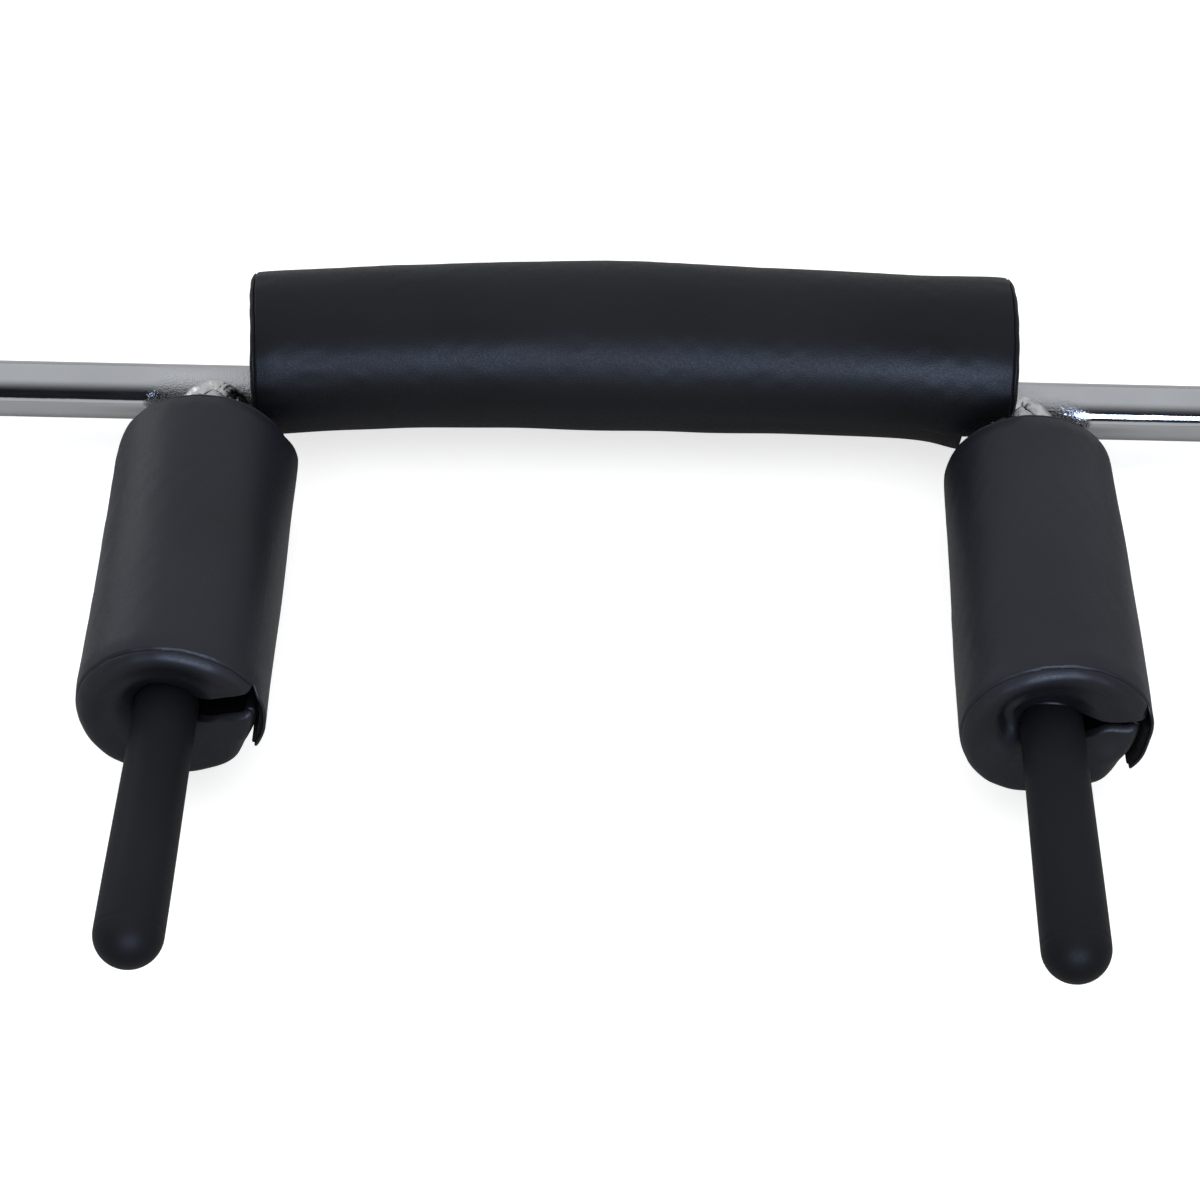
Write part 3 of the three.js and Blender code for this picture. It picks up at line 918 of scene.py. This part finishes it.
def shell(name, pad, frame_matrix, arc, outside, thick, span):
    """A thin curved slab round part of a pad: arc is its two angles, outside(z, angle) its outer
    radius, and span where it starts and stops along the pad: two numbers, or a function of the
    angle that gives them. Its edges are rounded."""
    wide = math.radians(arc[0] - arc[1]) * pad.radius(np.array([0.0]))[0]
    long = pad.length
    size = np.array([wide, thick, long])
    round_r, coarse = thick * 0.48, 1.6
    stations = (
        graded(wide, round_r / 3, coarse, round_r * 1.34),
        np.linspace(0, thick, 8),
        graded(long, round_r / 3, coarse * 1.3, round_r * 1.34),
    )
    p, faces, _ = box_grid(*stations)
    q = rounded(p, size, round_r)
    angle = arc[0] + (arc[1] - arc[0]) * q[:, 0] / wide
    low, high = span(angle) if callable(span) else span
    z = low + (high - low) * q[:, 2] / long
    turn = np.radians(angle)
    radius = outside(z, angle)
    points = np.stack([pad.centre(z) + radius * np.cos(turn), radius * np.sin(turn), z], 1)
    points = pad.crumple(points, np.ones(len(p)))
    inward = np.stack([-np.cos(turn), -np.sin(turn), 0 * z], 1)
    points += inward * (thick - q[:, 1])[:, None]
    return out_facing(new_object(name, points, faces, frame_matrix, crease=80))


# ---------------- making the object
PAD_SHAPES = {
    "left": dict(
        centre=lambda z: PAD_OFFSET - 0.4 - 1.9 * near_end(z, PAD_START, 110),
        lips=(19.0, -2.0),
        hole_lips=(24.0, 43.0),
        step=5.0,
        lap_fade=28.0,
        stand=lambda z: -0.3 + 0.9 * near_end(z, PAD_START, 110) + 0.3 * near_end(z, PAD_END, 40),
        droop=lambda z, angle: 0.8 * smooth_step((-5 - angle) / 28),
        sag=lambda angle: 3.2 * bump_at(angle, 225, 45),
        seed=1.0,
    ),
    "right": dict(
        centre=lambda z: PAD_OFFSET - 0.4 + 0 * z,
        radius=lambda z: PAD_R + 0.85 - 2.95 * (PAD_END - z) / (PAD_END - PAD_START),
        lips=(9.0, -7.0),
        hole_lips=(42.0, 43.0),
        closing=(2.8, 4.5),
        dents=(
            (188.0, 0.30, 1.2, 17.0, 0.12),
            (110.0, 0.24, 2.4, 48.0, 0.13),
            (333.0, 0.6, -2.4, 16.0, 0.22),
        ),
        fold=3.4,
        lip_roll=2.0,
        step=6.0,
        lap_fade=26.0,
        stand=lambda z: -0.2 - 1.2 * near_end(z, PAD_START, 30),
        droop=lambda z, angle: 3.0 * smooth_step((-5 - angle) / 28),
        sag=lambda angle: 4.6 * bump_at(angle, 222, 42),
        seed=2.4,
    ),
}


FLAP_TIPS = {"left": -33.0, "right": -36.0}
HOOK_THICK = {"left": 2.0, "right": 2.8}


def near_end(z, end, reach):
    return smooth_step(1 - np.abs(z - end) / reach)


def shoulder_pad(side):
    frame_matrix = arm_frame(side)
    pad = Pad(PAD_START, PAD_END, **PAD_SHAPES[side])
    body, bare = pad_body(f"shoulder_cushion_{side}", pad, frame_matrix)
    parts = ("foam", "cover", "rear_panel", "front_panel")
    stands_for = [f"shoulder_pad_{side}_{part}" for part in parts]
    finish_piece(body, LEATHER, "yoke", "leatherette", stands_for)
    # Near-black foam on the slit's bare faces: painted shade of the slit.
    body.data.materials.append(SLIT_SHADE_FOAM)
    body.data.polygons.foreach_set("material_index", np.array(bare, np.int32))

    def span_at(angle):
        free = smooth_step((FLAP_ROOT - 3 - angle) / 10)
        late = smooth_step((FLAP_ROOT - 1 - angle) / 36)
        return PAD_START + 4.6 - 3.2 * late, PAD_END - 4.4 + 4.2 * free

    name, tip, thick = f"shoulder_flap_{side}", FLAP_TIPS[side], pad.flap_thick
    flap = shell(name, pad, frame_matrix, (FLAP_FROM, tip), pad.flap_radius, thick, span_at)
    finish_piece(flap, LEATHER, None, "leatherette", [f"shoulder_pad_{side}_flap"])
    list(across_hinge(pad, frame_matrix, 26.0, 8.0))
    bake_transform(flap)
    arc, span, thick = (4.0, tip + 1.0), (PAD_START + 8.0, PAD_END - 1.2), HOOK_THICK[side]
    inside = shell(f"hook_strip_{side}", pad, frame_matrix, arc, pad.hook_radius, thick, span)
    finish_piece(inside, HOOK, f"{side}_shoulder_flap", "tape", [f"shoulder_pad_{side}_hook_tape"])
    arc, span = (-pad.lips[1] - 6.0, -31.0), (PAD_START + 8.0, PAD_END - 8.0)
    under = shell(f"loop_strip_{side}", pad, frame_matrix, arc, pad.loop_radius, 1.0, span)
    finish_piece(under, LOOP, "yoke", "tape", [f"shoulder_pad_{side}_loop_tape"])


def across_hinge(pad, frame_matrix, start, end):
    """The two points between which a flap bends, at the given angles round its pad."""
    z = np.array([(pad.start + pad.end) / 2])
    for angle in (start, end):
        turn, radius = math.radians(angle), float(pad.radius(z)[0])
        x = float(pad.centre(z)[0]) + radius * math.cos(turn)
        yield frame_matrix @ Vector((x, radius * math.sin(turn), z[0]))


def neck_pad():
    """The neck pad lies on the shaft, which runs in its channel. The pad arches up a little
    towards its middle, and its ends give way round the arms' welds."""
    frame_matrix = neck_frame() @ Matrix.Scale(-1, 4, Vector((0, 1, 0)))
    arm_turn = math.radians(NECK_LEAN)
    arm_way = np.array([math.cos(arm_turn), math.sin(arm_turn)])
    weld_room = 20.6  # kept clear round an arm's axis
    reach = 60.0  # how far along the pad its end gives way

    def centre(z):
        middle = z - 5
        return -(30.1 - np.where(z < 5, 2.17e-4, 1.12e-4) * middle * middle)

    def dodge(points):
        along = points[:, :2] @ arm_way
        beside = points[:, :2] @ np.array([-arm_way[1], arm_way[0]])
        clear = np.sqrt(np.maximum(weld_room**2 - beside**2, 0))
        near = smooth_step((along - 1) / 8)
        z = points[:, 2]
        for sign, end in ((-1, NECK_FROM), (1, NECK_TO)):
            edge = abs(end) + 2.5
            limit = np.minimum(edge, ARM_X - clear)
            share = smooth_step((sign * z - edge + reach) / reach)
            z = z - sign * near * share * (edge - limit)
        # The left end leans outwards towards the pad's top.
        from_top = points[:, 0] - centre(z) + 44
        lean_out = 4.8 * np.clip(1 - from_top / 40, 0, 1) ** 1.5
        points[:, 2] = z - lean_out * smooth_step((NECK_FROM + 45 - z) / 45)
        return points

    pad = Pad(
        NECK_FROM + 0.5,
        NECK_TO - 0.5,
        rim=3.2,
        hole_r=15.5,
        centre=centre,
        radius=lambda z: 43.5 + 1.6 * bump_at(z, 0, 60) + 1.9 * smooth_step((z - 150) / 50),
        hole_lips=(90.0, 90.0),
        lips=(20.5, 20.5),
        lap=37.0,
        flap_thick=1.0,
        draw=0.6,
        bulge=0.8,
        dimple=1.0,
        seed=4.2,
        stand=lambda z: 0.5 + 1.25 * bump_at(z, 50, 75) - 0.9 * bump_at(z, 14, 24),
        droop=lambda z, angle: 3.2 * bump_at(z, 186, 14) * smooth_step((18 - angle) / 30),
        dodge=dodge,
    )
    body, _ = pad_body("neck_cushion", pad, frame_matrix, coarse=2.0)
    stands_for = [f"neck_pad_{part}" for part in ("foam", "cover", "left_panel", "right_panel")]
    finish_piece(body, NECK_LEATHER, "yoke", "leatherette", stands_for)

    arc, thick = (FLAP_FROM, -39.0), pad.flap_thick
    flap = shell("neck_flap_sheet", pad, frame_matrix, arc, pad.flap_radius, thick, NECK_FLAP)
    finish_piece(flap, NECK_LEATHER, None, "leatherette", ["neck_pad_flap"])
    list(across_hinge(pad, frame_matrix, 30.0, 21.0))
    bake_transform(flap)
    span = NECK_FLAP[0] + 6.0, NECK_FLAP[1] - 6.0
    hook_arc, loop_arc = (-24.0, -37.0), (-24.5, -39.0)
    inside = shell("neck_hook_strip", pad, frame_matrix, hook_arc, pad.hook_radius, 0.9, span)
    finish_piece(inside, HOOK, "neck_flap", "tape", ["neck_pad_hook_tape"])
    under = shell("neck_loop_strip", pad, frame_matrix, loop_arc, pad.loop_radius, 1.0, span)
    finish_piece(under, LOOP, "yoke", "tape", ["neck_pad_loop_tape"])


shaft()
for side in SIDES:
    arm(side)
    weld(side)
    grip(side)
    shoulder_pad(side)
    sleeve_set(side)
neck_pad()


# ---------------- floor, light and camera
def floor():
    """A plain pale floor, wide enough to reach the horizon. What the object mirrors of it is a
    greyer one just below, as a studio floor is outside its pool of light."""
    for name, level, tone, glow, seen in (
        ("floor", 0.0, 0.55, 0.72, True),
        ("floor_beyond", -0.002, 0.45, 0.0, False),
    ):
        reach = 30.0
        corners = [(x * reach, y * reach, level) for x, y in ((-1, -1), (1, -1), (1, 1), (-1, 1))]
        made = new_object(name, corners, [(0, 1, 2, 3)], Matrix.Identity(4))
        look, tree, shader = material(name, (tone, tone, tone), 0.9, shine=0.0)
        shader.inputs["Emission Color"].default_value = (1, 1, 1, 1)
        shader.inputs["Emission Strength"].default_value = glow
        mottle = noise_map(tree, object_place(tree), 3.0)
        tree.links.new(ramp(tree, mottle, tone - 0.01, tone + 0.01), shader.inputs["Base Color"])
        made.data.materials.append(look)
        made.visible_camera = seen
        for ray in ("diffuse", "glossy", "transmission", "shadow"):
            setattr(made, "visible_" + ray, not seen)


def sky():
    """A bright even room with a darker side behind the camera."""
    world = bpy.data.worlds.new("room")
    bpy.context.scene.world = world
    world.use_nodes = True
    tree = world.node_tree
    background = tree.nodes["Background"]
    way = place_parts(tree, "Generated")
    above, front = faded(tree, way["Z"], *DARK_FROM), faded(tree, way["Y"], *DARK_FRONT)
    dark = calculated(tree, "MULTIPLY", above, front)
    shade = node(tree, "MixRGB", Color1=(*ROOM_LIGHT, 1), Color2=(*ROOM_DARK, 1))
    tree.links.new(dark, shade.inputs["Fac"])
    tree.links.new(shade.outputs["Color"], background.inputs["Color"])
    background.inputs["Strength"].default_value = 1.0


def softbox(name, at, towards, size, watts, colour=(1, 1, 1), mirrored=True, lit=True):
    """A light that shows in shiny surfaces if mirrored, and lights dull ones if lit."""
    light = bpy.data.lights.new(name, "AREA")
    light.shape = "RECTANGLE"
    light.size, light.size_y = size
    light.energy = watts
    light.color = colour
    made = bpy.data.objects.new(name, light)
    made.location = at
    made.rotation_euler = (Vector(towards) - Vector(at)).to_track_quat("-Z", "Y").to_euler()
    made.visible_camera = False
    made.visible_glossy, made.visible_diffuse = mirrored, lit
    bpy.context.scene.collection.objects.link(made)


def camera():
    """The camera's place and aim, in the yoke's own axes about the middle of the shaft."""
    az, el, roll = (math.radians(a) for a in CAMERA_TURN)
    toward = Vector((-math.sin(az) * math.cos(el), math.cos(az) * math.cos(el), -math.sin(el)))
    right = Vector((math.cos(az), math.sin(az), 0))
    down = toward.cross(right)
    cos, sin = math.cos(roll), math.sin(roll)
    right, down = right * cos + down * sin, down * cos - right * sin
    at = Vector(CAMERA_AIM) - toward * CAMERA_DISTANCE
    yoke = Matrix((X_AXIS, -ARM_WAY, YOKE_UP)).transposed()
    turn = yoke @ Matrix((right, -down, -toward)).transposed()
    lens = bpy.data.cameras.new("camera")
    lens.sensor_width = 36
    lens.lens = CAMERA_LENS
    lens.shift_x, lens.shift_y = CAMERA_SHIFT
    lens.clip_end = 100
    made = bpy.data.objects.new("camera", lens)
    made.matrix_world = Matrix.Translation(SHAFT_AT + yoke @ at * MM) @ turn.to_4x4()
    bpy.context.scene.collection.objects.link(made)
    bpy.context.scene.camera = made


CAMERA_TURN = (-0.53, 48.59, -1.6)
CAMERA_AIM = (18.04, -143.14, 0)
CAMERA_DISTANCE = 1366.4
CAMERA_LENS = 81.33
CAMERA_SHIFT = (-0.0403, 0.0011)
FRONT_COLOUR = (0.56, 0.70, 1.0)
SIDE_COLOUR = (0.86, 0.93, 1.0)
ROOM_LIGHT = (0.67, 0.69, 0.72)
ROOM_DARK = (0.015, 0.016, 0.02)
DARK_FROM = (0.20, 0.26)  # the dark side of the room starts at these heights of a unit sphere
DARK_FRONT = (0.087, -0.707)  # and is darkest this far towards the front

floor()
sky()
softbox("overhead", (0, 0, 2.8), (0, 0, 0), (4, 4), 85, mirrored=False)
softbox("front", (0.21, -1.45, 1.1), (0.21, 0, 0.05), (1.26, 0.46), 41, FRONT_COLOUR, lit=False)
softbox("side", (-0.68, 0.42, 0.2), (-0.27, 0.1, 0.07), (0.34, 0.34), 0.38, SIDE_COLOUR, lit=False)
camera()
bpy.context.scene.view_settings.view_transform = "Standard"
